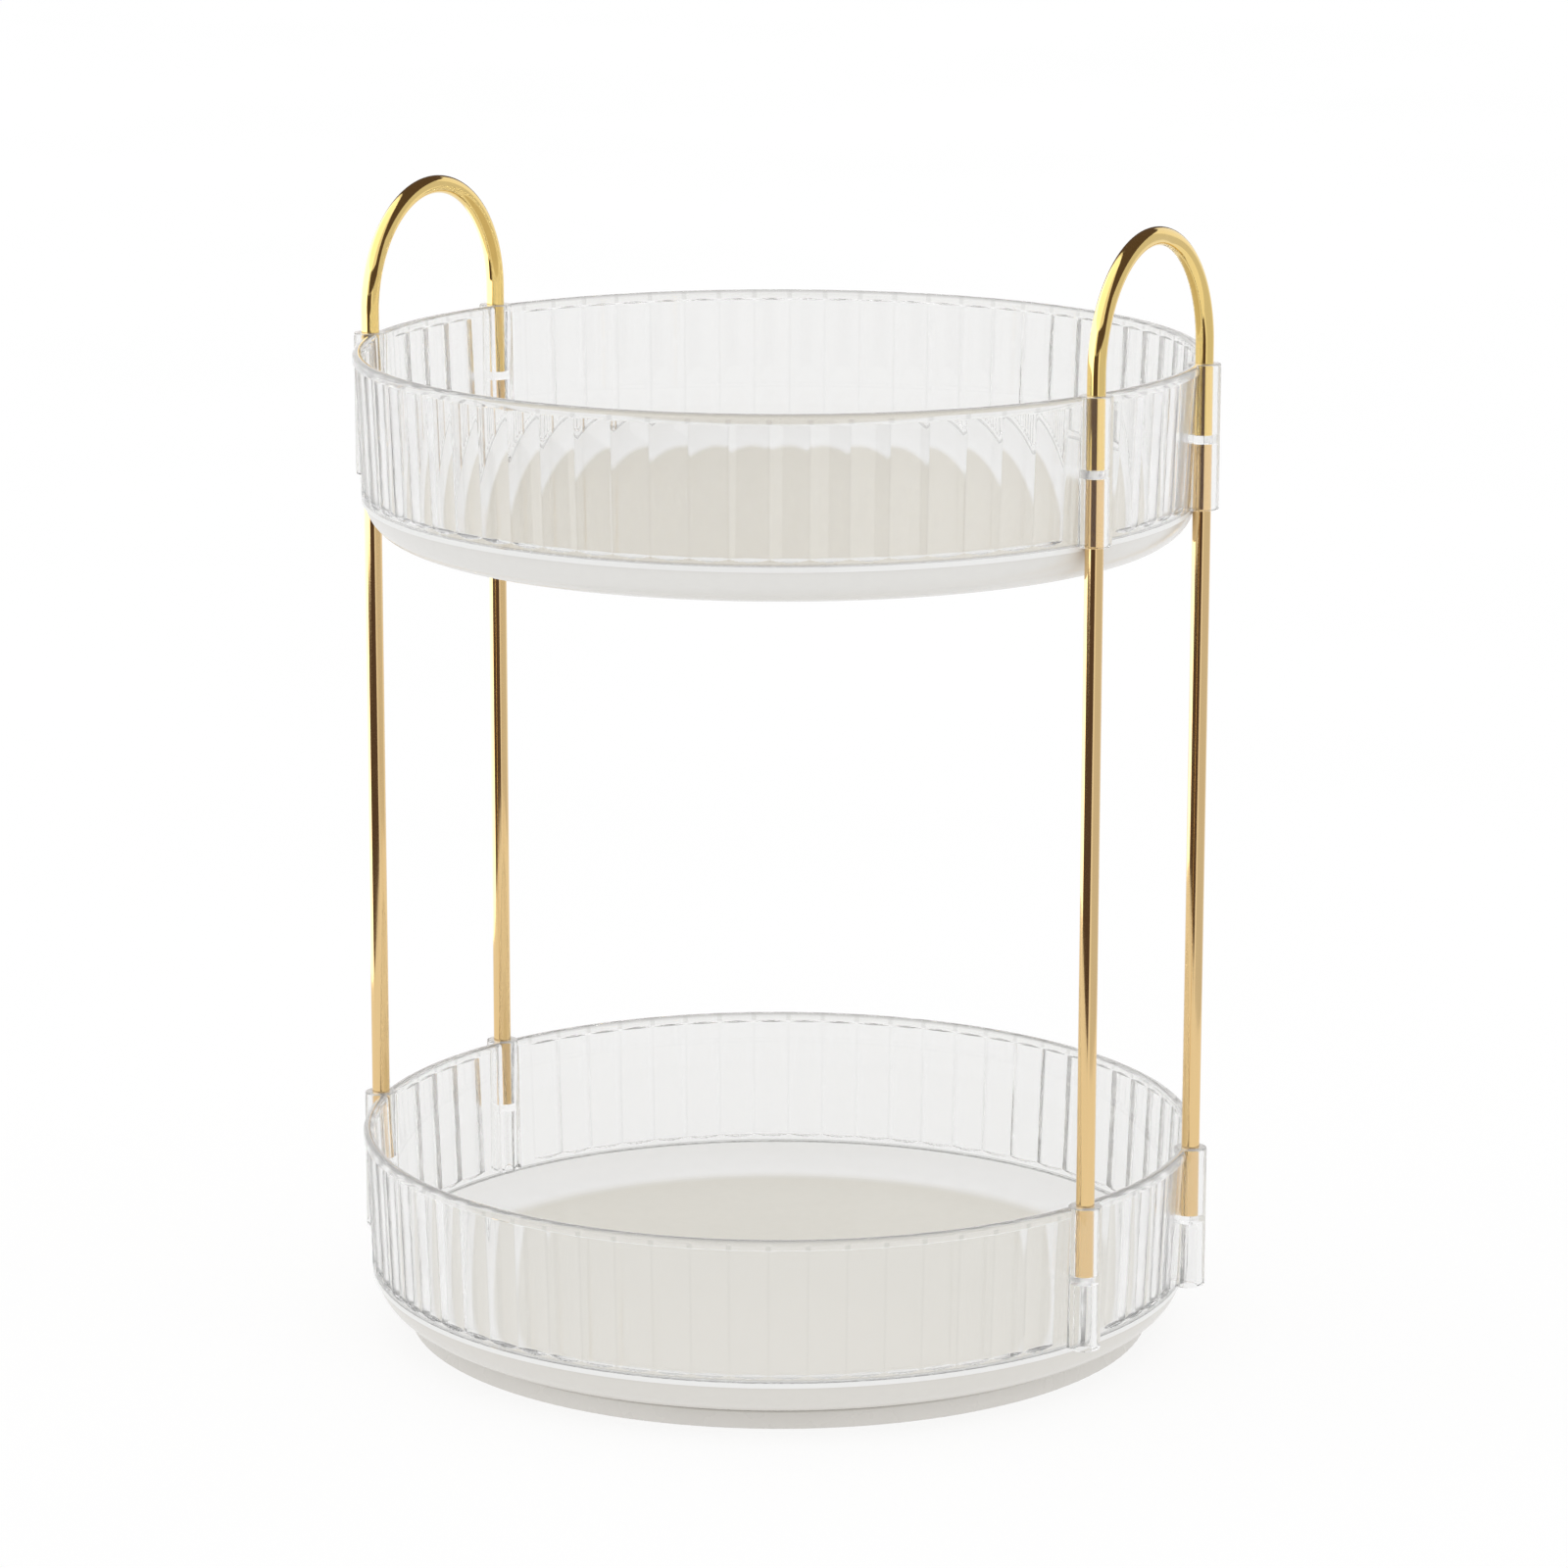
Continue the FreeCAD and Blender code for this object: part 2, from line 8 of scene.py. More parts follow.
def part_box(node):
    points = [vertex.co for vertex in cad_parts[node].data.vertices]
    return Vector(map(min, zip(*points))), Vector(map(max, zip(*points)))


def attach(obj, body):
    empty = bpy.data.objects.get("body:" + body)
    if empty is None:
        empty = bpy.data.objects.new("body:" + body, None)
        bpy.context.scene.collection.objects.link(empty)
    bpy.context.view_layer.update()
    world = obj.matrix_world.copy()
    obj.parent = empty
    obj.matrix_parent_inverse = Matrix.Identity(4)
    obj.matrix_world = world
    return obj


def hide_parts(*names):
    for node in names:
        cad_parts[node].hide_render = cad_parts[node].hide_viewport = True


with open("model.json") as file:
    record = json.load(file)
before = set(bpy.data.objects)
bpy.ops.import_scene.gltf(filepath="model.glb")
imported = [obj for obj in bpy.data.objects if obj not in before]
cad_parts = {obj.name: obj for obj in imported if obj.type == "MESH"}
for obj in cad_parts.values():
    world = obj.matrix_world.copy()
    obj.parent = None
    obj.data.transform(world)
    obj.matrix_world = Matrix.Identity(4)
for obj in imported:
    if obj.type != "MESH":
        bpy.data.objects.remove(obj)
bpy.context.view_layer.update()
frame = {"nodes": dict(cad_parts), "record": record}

# Two-tier lazy susan turntable: looks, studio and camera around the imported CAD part.
# The CAD frame: the axis of turning is Z, the base stands on z = 0, the handles are at +-X.
# Both clear walls are built here again, as finer meshes that refract smoothly.

MM = 0.001

# where the dishes' painted shade and highlight change, in millimetres: from the shaded floor to the
# lighter cove, from the cove to the greyer flat edge under the wall, and from the lower dish to the
# upper one
FLOOR_RADIUS = 99.4
COVE_BLEND = 4.0
EDGE_RADIUS = 115.0
BETWEEN_TIERS = 100.0
# height at which the gold turns from the posts' to the hoops' brighter, yellower copy, a painted
# highlight
POST_TOP = 255.7

# the clear wall, in millimetres as in the CAD, with heights from its foot
WALL_HEIGHT = 40.0
WALL_FOOT_OUTER = 115.5
WALL_HEAD_OUTER = 117.0
WALL_FOOT_INNER = 112.9
WALL_HEAD_INNER = 114.6
LIP_RADIUS = 117.5
LIP_HEIGHT = 2.6
LIP_EDGE = 1.4
TONGUE_INNER = 113.4
TONGUE_OUTER = 114.3
TONGUE_DEPTH = 1.0
FLUTE_COUNT = 70
FLUTE_DEPTH = 0.95
FLUTE_AXIS = 131.6
FLUTE_END_CLEAR = 0.12
FOOT_BAND = 1.2
FLUTE_FOOT_RUN = 1.0
FLUTE_HEAD_RUN = 0.4
SOCKET_CIRCLE = 118.0
SOCKET_HALF_ANGLE = 16.03
SOCKET_RADIUS = 4.6
SOCKET_EDGE = 0.4
SOCKET_BORE = 2.55
HEAD_BORE_DEPTH = 19.4
FOOT_BORE_DEPTH = 18.2
LIP_FOOT = WALL_HEIGHT - LIP_HEIGHT
SOCKET_PLACES = [(end * SOCKET_CIRCLE * math.cos(math.radians(SOCKET_HALF_ANGLE)),
                  side * SOCKET_CIRCLE * math.sin(math.radians(SOCKET_HALF_ANGLE)))
                 for end in (-1, 1) for side in (-1, 1)]

# the photograph's camera: metres from the axis and above the floor, degrees, millimetres
CAMERA_REACH = 1.5747
CAMERA_HEIGHT = 0.5107
CAMERA_AZIMUTH = 29.65
CAMERA_PITCH = 12.758
CAMERA_YAW = -0.045
CAMERA_ROLL = 0.096
CAMERA_LENS = 132.5
CAMERA_SENSOR = 36

# radius of the studio floor, in metres
FLOOR_REACH = 9.0
# bounces of light: a ray crosses up to eight faces of the clear walls, and is guided along them
LIGHT_BOUNCES = 24


# ---------------------------------------------------------------- node helpers

def math_node(tree, operation, *terms):
    """Output of a Math node in a node tree; its terms are numbers or other nodes' outputs."""
    node = tree.nodes.new("ShaderNodeMath")
    node.operation = operation
    for socket, term in zip(node.inputs, terms):
        if isinstance(term, (int, float)):
            socket.default_value = term
        else:
            tree.links.new(term, socket)
    return node.outputs[0]


class Look:
    """A material under construction: its node tree, its shader and a few shorthands."""

    def __init__(self, name):
        self.material = bpy.data.materials.new(name)
        self.material.use_nodes = True
        self.nodes = self.material.node_tree.nodes
        self.links = self.material.node_tree.links
        self.shader = self.nodes["Principled BSDF"]
        self.place = self.nodes.new("ShaderNodeTexCoord").outputs["Object"]

    def set(self, **sockets):
        for name, number in sockets.items():
            self.shader.inputs[name.replace("_", " ")].default_value = number

    def link(self, output, name):
        self.links.new(output, self.shader.inputs[name])

    def math(self, operation, *terms):
        return math_node(self.material.node_tree, operation, *terms)

    def split(self):
        """The X, Y and Z of a point, in metres."""
        node = self.nodes.new("ShaderNodeSeparateXYZ")
        self.links.new(self.place, node.inputs[0])
        return node.outputs

    def radius(self):
        """Distance from the axis of turning, in metres."""
        x, y, _ = self.split()
        squares = self.math("ADD", self.math("MULTIPLY", x, x), self.math("MULTIPLY", y, y))
        return self.math("SQRT", squares)

    def facing_up(self):
        """Upward part of the surface's direction, from -1 to 1."""
        node = self.nodes.new("ShaderNodeSeparateXYZ")
        self.links.new(self.nodes.new("ShaderNodeNewGeometry").outputs["Normal"], node.inputs[0])
        return node.outputs["Z"]

    def noise(self, scale, detail=3.0, stretch=(1, 1, 1)):
        """Noise from 0 to 1; stretch multiplies the place, so a small number makes long streaks."""
        mapping = self.nodes.new("ShaderNodeMapping")
        mapping.inputs["Scale"].default_value = stretch
        self.links.new(self.place, mapping.inputs["Vector"])
        node = self.nodes.new("ShaderNodeTexNoise")
        node.inputs["Scale"].default_value = scale
        node.inputs["Detail"].default_value = detail
        self.links.new(mapping.outputs[0], node.inputs["Vector"])
        return node.outputs["Fac"]

    def span(self, source, low, high, to_low, to_high, smooth=False):
        """source's stretch low..high becomes to_low..to_high, and it stays there beyond."""
        node = self.nodes.new("ShaderNodeMapRange")
        node.interpolation_type = "SMOOTHSTEP" if smooth else "LINEAR"
        self.links.new(source, node.inputs["Value"])
        ends = {"From Min": low, "From Max": high, "To Min": to_low, "To Max": to_high}
        for socket, number in ends.items():
            node.inputs[socket].default_value = number
        return node.outputs[0]

    def blend(self, factor, first, second):
        """Colour from first (factor 0) to second (1); either may be another node's output."""
        node = self.nodes.new("ShaderNodeMix")
        node.data_type = "RGBA"
        self.links.new(factor, node.inputs["Factor"])
        for socket, colour in ((node.inputs[6], first), (node.inputs[7], second)):
            if isinstance(colour, tuple):
                socket.default_value = (*colour, 1)
            else:
                self.links.new(colour, socket)
        return node.outputs[2]

    def band(self, factor, *limits):
        """factor where each (source, low, high) lies between its limits in millimetres, else 0."""
        fade = 0.1
        for source, low, high in limits:
            rise = self.span(source, (low - fade) * MM, low * MM, 0, 1)
            fall = self.span(source, high * MM, (high + fade) * MM, 1, 0)
            factor = self.math("MULTIPLY", self.math("MULTIPLY", factor, rise), fall)
        return factor

    def bump(self, height, distance, strength=1.0):
        node = self.nodes.new("ShaderNodeBump")
        node.inputs["Distance"].default_value = distance
        node.inputs["Strength"].default_value = strength
        self.links.new(height, node.inputs["Height"])
        self.link(node.outputs[0], "Normal")


# ---------------------------------------------------------------- materials

def wall_height(look, z):
    """Height above the foot of whichever wall the point is in, in metres."""
    foot, head = [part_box(node)[0][2] + TONGUE_DEPTH * MM for node in ("lower_wall", "upper_wall")]
    tongue_room = 2 * MM
    raised = look.math("SUBTRACT", z, foot - tongue_room)
    return look.math("SUBTRACT", look.math("MODULO", raised, head - foot), tongue_room)


def wall_painted_shade(look, x, y, height):
    """Where shade is painted into the wall, 0 to 1: thin dark lines along the flute edges, under
    the lip, on the rim top and at the foot, painted in place of the shade that shows through clear
    mouldings.
    """
    radius = look.radius()
    turn = look.math("MULTIPLY", look.math("ARCTAN2", y, x), FLUTE_COUNT / math.tau)
    away = look.math("PINGPONG", turn, 0.5)
    # painted shade: dark lines along the flute edges
    flute_edge = look.band(look.span(away, 0.015, 0.05, 0.06, 0),
                           (radius, WALL_FOOT_OUTER - 0.4, WALL_HEAD_OUTER),
                           (height, FOOT_BAND + 0.2, LIP_FOOT - 0.1))
    # painted shade: dark blocks at the flute edges just under the lip
    under_lip = look.band(look.span(away, 0.05, 0.09, 0.2, 0),
                          (radius, WALL_HEAD_OUTER + 0.2, LIP_RADIUS + 1),
                          (height, LIP_FOOT, LIP_FOOT + 1.2))
    # painted shade: a dark line on the upward faces of the rim top
    rim_top = look.band(look.span(look.facing_up(), 0.3, 0.8, 0, 0.45),
                        (height, WALL_HEIGHT - 1, WALL_HEIGHT + 1))
    # painted shadow: a dark line at the foot, where the wall meets the dish
    foot_line = look.band(0.35,
                          (radius, WALL_FOOT_INNER - 0.9, WALL_FOOT_OUTER + 1),
                          (height, 0.12, 0.45))
    return look.math("MAXIMUM", look.math("MAXIMUM", flute_edge, under_lip),
                     look.math("MAXIMUM", rim_top, foot_line))


def wall_haze(look, x, y, height):
    """A slight haze, stronger in the lip and absent from the sockets."""
    across, along = [look.math("SUBTRACT", look.math("ABSOLUTE", part), abs(place) * MM)
                     for part, place in zip((x, y), SOCKET_PLACES[0])]
    squares = look.math("ADD", look.math("MULTIPLY", across, across),
                        look.math("MULTIPLY", along, along))
    haze = look.span(height, LIP_FOOT * MM, (LIP_FOOT + 0.2) * MM, 0.09, 0.16)
    outside = look.span(look.math("SQRT", squares),
                        (SOCKET_RADIUS + 0.2) * MM, (SOCKET_RADIUS + 1) * MM, 0, 1)
    return look.math("MULTIPLY", haze, outside)


def clear_wall():
    """Clear moulded plastic with a slight haze, and painted shade along its edges: thin dark lines
    standing in for the shade seen through the clear wall.
    """
    look = Look("clear_moulding")
    x, y, z = look.split()
    height = wall_height(look, z)
    painted_shade = wall_painted_shade(look, x, y, height)
    clear = look.blend(look.noise(14.0), (0.965, 0.965, 0.965), (0.98, 0.98, 0.975))
    # painted shade: the dark colour of the lines
    look.link(look.blend(painted_shade, clear, (0.09, 0.085, 0.065)), "Base Color")
    # the haze and the painted shade lines take away transmission, so that their colours show
    haze_and_painted_shade = look.math("MAXIMUM", wall_haze(look, x, y, height), look.math("MULTIPLY", painted_shade, 0.85))
    look.link(look.span(haze_and_painted_shade, 0, 1, 1, 0), "Transmission Weight")
    look.set(IOR=1.52)
    look.link(look.span(look.noise(60.0), 0.3, 0.7, 0.0, 0.02), "Roughness")
    look.bump(look.noise(45.0, 2.0, (1, 1, 0.4)), 0.02 * MM)
    return look.material


def white_pan():
    """Glossy white dish with painted light and shade: a darker, warm floor of painted shade, warmer
    on the upper tier, a whiter cove of painted highlight, a greyer edge and darker undersides of
    painted shade.
    """
    look = Look("white_dish")
    speckle = look.noise(350.0)
    tier = look.span(look.split()["Z"], BETWEEN_TIERS * MM, (BETWEEN_TIERS + 50) * MM, 0, 1)
    # painted shade: the floor is darker and warmer than the cove, more so on the upper tier
    floor = look.blend(tier, look.blend(speckle, (0.75, 0.725, 0.655), (0.78, 0.755, 0.685)),
                       look.blend(speckle, (0.66, 0.605, 0.485), (0.69, 0.635, 0.515)))
    # painted highlight: the cove is whiter than the floor and the edge
    cove = look.blend(speckle, (0.95, 0.95, 0.945), (0.97, 0.97, 0.965))
    # painted shade: the flat edge under the wall is greyer than the cove
    edge = look.blend(speckle, (0.77, 0.765, 0.745), (0.79, 0.785, 0.765))
    # painted shade: faces turned down are darker, more so on the lower tier near the base
    belly = look.blend(tier, look.blend(speckle, (0.73, 0.71, 0.67), (0.76, 0.74, 0.70)),
                       look.blend(speckle, (0.775, 0.765, 0.74), (0.805, 0.795, 0.77)))
    radius = look.radius()
    at_edge = look.span(radius, EDGE_RADIUS * MM, (EDGE_RADIUS + 1) * MM, 0, 1)
    off_floor = look.span(radius, (FLOOR_RADIUS - COVE_BLEND) * MM,
                          (FLOOR_RADIUS + COVE_BLEND) * MM, 0, 1, True)
    inside = look.blend(off_floor, floor, look.blend(at_edge, cove, edge))
    # faces turned down get the undersides' painted shade
    not_under = look.span(look.facing_up(), -0.05, 0.0, 0, 1)
    look.link(look.blend(not_under, belly, inside), "Base Color")
    look.link(look.span(look.noise(90.0), 0.3, 0.7, 0.16, 0.24), "Roughness")
    look.bump(look.noise(900.0, 2.0), 0.01 * MM)
    return look.material


def white_base():
    """Satin white of the foot plate."""
    look = Look("white_foot_plate")
    speckle = look.noise(350.0)
    look.link(look.blend(speckle, (0.715, 0.695, 0.66), (0.745, 0.725, 0.69)), "Base Color")
    look.link(look.span(look.noise(90.0), 0.3, 0.7, 0.22, 0.32), "Roughness")
    look.bump(look.noise(900.0, 2.0), 0.01 * MM)
    return look.material


def gold_tube():
    """Polished gold plate with the fine upright streaks of drawn tube; the hoops get a brighter,
    yellower copy of the gold, a painted highlight.
    """
    look = Look("gold_plate")
    look.set(Metallic=1.0)
    streak = look.noise(900.0, 4.0, (1, 1, 0.05))
    post = look.blend(streak, (0.82, 0.58, 0.28), (0.86, 0.62, 0.31))
    # painted highlight: the hoops' gold is brighter and yellower than the posts'
    handle = look.blend(streak, (0.90, 0.66, 0.24), (0.94, 0.70, 0.27))
    high = look.span(look.split()["Z"], POST_TOP * MM, (POST_TOP + 2) * MM, 0, 1)
    look.link(look.blend(high, post, handle), "Base Color")
    look.link(look.span(streak, 0.3, 0.7, 0.05, 0.11), "Roughness")
    look.bump(streak, 0.003 * MM)
    return look.material


def foot_rubber():
    """Matt grey rubber."""
    look = Look("grey_rubber")
    grain = look.noise(2500.0)
    look.link(look.blend(grain, (0.50, 0.50, 0.48), (0.58, 0.58, 0.56)), "Base Color")
    look.link(look.span(grain, 0.3, 0.7, 0.75, 0.95), "Roughness")
    look.bump(grain, 0.05 * MM)
    return look.material


def satin_plastic(name, first, second):
    """Plain moulded plastic of the hidden bearing parts."""
    look = Look(name)
    grain = look.noise(1200.0)
    look.link(look.blend(grain, first, second), "Base Color")
    look.link(look.span(grain, 0.3, 0.7, 0.38, 0.52), "Roughness")
    look.bump(grain, 0.01 * MM)
    return look.material


def turned_steel():
    """Bright steel of the balls, the washer and the screw."""
    look = Look("turned_steel")
    look.set(Metallic=1.0)
    grain = look.noise(1800.0)
    look.link(look.blend(grain, (0.62, 0.62, 0.63), (0.70, 0.70, 0.71)), "Base Color")
    look.link(look.span(grain, 0.3, 0.7, 0.22, 0.34), "Roughness")
    look.bump(grain, 0.004 * MM)
    return look.material


SLOT_LOOKS = {
    "clear_wall": clear_wall(),
    "white_pan": white_pan(),
    "white_base": white_base(),
    "gold_tube": gold_tube(),
    "foot_rubber": foot_rubber(),
    "bush": satin_plastic("bush_plastic", (0.72, 0.72, 0.70), (0.78, 0.78, 0.76)),
    "cage": satin_plastic("cage_plastic", (0.55, 0.60, 0.64), (0.62, 0.66, 0.70)),
    "steel": turned_steel(),
}

for subpart in frame["record"]["subparts"]:
    mesh = frame["nodes"][subpart["node"]].data
    mesh.materials.clear()
    mesh.materials.append(SLOT_LOOKS[subpart["material_slot"]])


# ---------------------------------------------------------------- clear walls

def steps_between(first, last, count):
    """Evenly spaced numbers after first, up to and with last."""
    return [first + (last - first) * step / count for step in range(1, count + 1)]


def rounded_corner(centre, radius, start, finish, count=8):
    """Points (radius, height) along an arc from one angle to another, in degrees."""
    angles = [start] + steps_between(start, finish, count)
    return [(centre[0] + radius * math.cos(math.radians(angle)),
             centre[1] + radius * math.sin(math.radians(angle))) for angle in angles]


def cutter_reach(height):
    """How near the axis of turning the flute cutter comes at a height above the wall's foot."""
    stations = (
        (FOOT_BAND, WALL_FOOT_OUTER + FLUTE_END_CLEAR),
        (FOOT_BAND + FLUTE_FOOT_RUN, WALL_FOOT_OUTER - FLUTE_DEPTH),
        (LIP_FOOT - FLUTE_HEAD_RUN, WALL_HEAD_OUTER - FLUTE_DEPTH),
        (LIP_FOOT, WALL_HEAD_OUTER + FLUTE_END_CLEAR),
    )
    height = min(max(height, stations[0][0]), stations[-1][0])
    for (low, reach_low), (high, reach_high) in zip(stations, stations[1:]):
        if height <= high:
            return reach_low + (reach_high - reach_low) * (height - low) / (high - low)


def face_radius(turn, height, fluted):
    """Radius of the outer face, at an angle from the middle of its flute."""
    plain = WALL_FOOT_OUTER + (WALL_HEAD_OUTER - WALL_FOOT_OUTER) * height / LIP_FOOT
    cutter = FLUTE_AXIS - cutter_reach(height)
    across = FLUTE_AXIS * math.sin(turn)
    if not fluted or abs(across) >= cutter:
        return plain
    return min(plain, FLUTE_AXIS * math.cos(turn) - math.sqrt(cutter ** 2 - across ** 2))


def wall_rows():
    """The wall's section as (radius, height), bottom to top outside and back down inside.

    A radius of None follows the fluted face.
    """
    heights = [0, FOOT_BAND]
    heights += steps_between(FOOT_BAND, FOOT_BAND + FLUTE_FOOT_RUN, 5)
    heights += steps_between(FOOT_BAND + FLUTE_FOOT_RUN, LIP_FOOT - FLUTE_HEAD_RUN, 6)
    heights += steps_between(LIP_FOOT - FLUTE_HEAD_RUN, LIP_FOOT, 4)
    rows = [(None, height) for height in heights] + [(LIP_RADIUS, LIP_FOOT)]
    corner_height = WALL_HEIGHT - LIP_EDGE
    rows += rounded_corner((LIP_RADIUS - LIP_EDGE, corner_height), LIP_EDGE, 0, 90)
    rows += rounded_corner((WALL_HEAD_INNER + LIP_EDGE, corner_height), LIP_EDGE, 90, 180)
    rows += [
        (WALL_FOOT_INNER, 0),
        (TONGUE_INNER, 0),
        (TONGUE_INNER, -TONGUE_DEPTH),
        (TONGUE_OUTER, -TONGUE_DEPTH),
        (TONGUE_OUTER, 0),
    ]
    return rows


def wall_columns(per_flute=22):
    """(angle, angle from the middle of the flute, whether it is fluted) all round the wall."""
    pitch = math.tau / FLUTE_COUNT
    sockets = [math.atan2(y, x) for x, y in SOCKET_PLACES]
    for place in range(FLUTE_COUNT):
        middle = (place + 0.5) * pitch
        fluted = all(abs(math.remainder(middle - socket, math.tau)) > pitch
                     for socket in sockets)
        for step in range(per_flute):
            turn = (step / per_flute - 0.5) * pitch
            yield middle + turn, turn, fluted


def new_piece(name, points, faces):
    """Object in the scene from a mesh whose points are in millimetres."""
    mesh = bpy.data.meshes.new(name)
    mesh.from_pydata([[number * MM for number in point] for point in points], [], faces)
    piece = bpy.data.objects.new(name, mesh)
    bpy.context.scene.collection.objects.link(piece)
    return piece


def wall_ring(name, foot):
    """Ring with the flutes in its outer face, as a closed grid of rows and columns."""
    rows, columns = wall_rows(), list(wall_columns())
    points = []
    for radius, height in rows:
        for angle, turn, fluted in columns:
            reach = face_radius(turn, height, fluted) if radius is None else radius
            points.append((reach * math.cos(angle), reach * math.sin(angle), foot + height))
    wide, tall = len(columns), len(rows)
    faces = []
    for row in range(tall):
        above = (row + 1) % tall
        for column in range(wide):
            beside = (column + 1) % wide
            faces.append((row * wide + column, row * wide + beside,
                          above * wide + beside, above * wide + column))
    return new_piece(name, points, faces)


def turned_solids(name, outline, segments=72):
    """The same solid of revolution at each socket; its outline starts and ends on its axis."""
    points, faces = [], []
    for x, y in SOCKET_PLACES:
        base = len(points)
        ring = [base + 1 + step * segments for step in range(len(outline) - 2)]
        points.append((x, y, outline[0][1]))
        for radius, height in outline[1:-1]:
            for step in range(segments):
                angle = math.tau * step / segments
                points.append((x + radius * math.cos(angle), y + radius * math.sin(angle),
                               height))
        points.append((x, y, outline[-1][1]))
        for step in range(segments):
            after = (step + 1) % segments
            faces.append((base, ring[0] + after, ring[0] + step))
            faces.append((ring[-1] + step, ring[-1] + after, len(points) - 1))
            for low, high in zip(ring, ring[1:]):
                faces.append((low + step, low + after, high + after, high + step))
    return new_piece(name, points, faces)


def combine(piece, tool, operation):
    """Add the tool to the piece, or cut it out, and drop the tool."""
    modifier = piece.modifiers.new(operation, "BOOLEAN")
    modifier.operation = operation
    modifier.object = tool
    modifier.solver = "MANIFOLD"
    bpy.context.view_layer.objects.active = piece
    bpy.ops.object.modifier_apply(modifier=modifier.name)
    bpy.data.objects.remove(tool)


def make_wall(name, node):
    """Clear ring with its four tube sockets, in place of a CAD wall."""
    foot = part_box(node)[0][2] / MM + TONGUE_DEPTH
    rim = foot + WALL_HEIGHT
    piece = wall_ring(name, foot)
    round_from = SOCKET_RADIUS - SOCKET_EDGE
    sockets = [(0, foot)]
    sockets += rounded_corner((round_from, foot + SOCKET_EDGE), SOCKET_EDGE, -90, 0, 4)
    sockets += rounded_corner((round_from, rim - SOCKET_EDGE), SOCKET_EDGE, 0, 90, 4)
    sockets += [(0, rim)]
    combine(piece, turned_solids("sockets", sockets), "UNION")
    for low, high in ((foot - 1, foot + FOOT_BORE_DEPTH), (rim - HEAD_BORE_DEPTH, rim + 1)):
        bore = [(0, low), (SOCKET_BORE, low), (SOCKET_BORE, high), (0, high)]
        combine(piece, turned_solids("bores", bore), "DIFFERENCE")
    mesh = piece.data
    mesh.polygons.foreach_set("use_smooth", [True] * len(mesh.polygons))
    mesh.set_sharp_from_angle(angle=math.radians(20))
    mesh.materials.clear()
    mesh.materials.append(SLOT_LOOKS["clear_wall"])
    mesh.polygons.foreach_set("material_index", [0] * len(mesh.polygons))
    piece.visible_shadow = False
    piece.visible_diffuse = False
    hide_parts(node)
    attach(piece, "turntable")
    return piece


mouldings = (make_wall("lower_wall_moulding", "lower_wall"),
             make_wall("upper_wall_moulding", "upper_wall"))


# ---------------------------------------------------------------- studio

def studio_floor():
    """Plain pale floor, wide enough to fill every view, lit from within like a light table.

    The lens sees it at full white, and everything else gets a little less light from it.
    """
    bpy.ops.mesh.primitive_circle_add(vertices=96, radius=FLOOR_REACH, fill_type="NGON",
                                      location=(0, 0, 0))
    floor = bpy.context.object
    floor.name = "studio_floor"
    look = Look("pale_floor")
    look.link(look.blend(look.noise(3.0), (0.24, 0.24, 0.24), (0.26, 0.26, 0.26)), "Base Color")
    look.set(Roughness=1.0, Specular_IOR_Level=0.0, Emission_Color=(1, 1, 1, 1))
    seen = look.nodes.new("ShaderNodeLightPath").outputs["Is Camera Ray"]
    look.link(look.span(seen, 0, 1, 0.70, 0.77), "Emission Strength")
    floor.data.materials.append(look.material)


def studio_world():
    """Even white surroundings, a little weaker overhead."""
    world = bpy.data.worlds.new("studio")
    world.use_nodes = True
    nodes, links = world.node_tree.nodes, world.node_tree.links
    place = nodes.new("ShaderNodeTexCoord").outputs["Generated"]
    split = nodes.new("ShaderNodeSeparateXYZ")
    links.new(place, split.inputs[0])
    fall = nodes.new("ShaderNodeMapRange")
    fall.inputs["To Min"].default_value = 1.0
    fall.inputs["To Max"].default_value = 0.88
    links.new(split.outputs["Z"], fall.inputs["Value"])
    nodes["Background"].inputs["Color"].default_value = (1, 1, 1, 1)
    links.new(fall.outputs[0], nodes["Background"].inputs["Strength"])
    bpy.context.scene.world = world


def card_shape(name, first, last, corners, steps=48):
    """Card curved round the object, from first to last degrees, through its corners in metres."""
    points, faces = [], []
    for step in range(steps + 1):
        angle = math.radians(CAMERA_AZIMUTH + first + (last - first) * step / steps)
        out = Vector((math.sin(angle), -math.cos(angle), 0))
        points += [(out * reach + Vector((0, 0, height))) / MM for reach, height in corners]
    for step in range(steps):
        for corner in range(len(corners) - 1):
            edge = len(corners) * step + corner
            faces.append((edge, edge + 1, edge + len(corners) + 1, edge + len(corners)))
    return new_piece(name, points, faces)


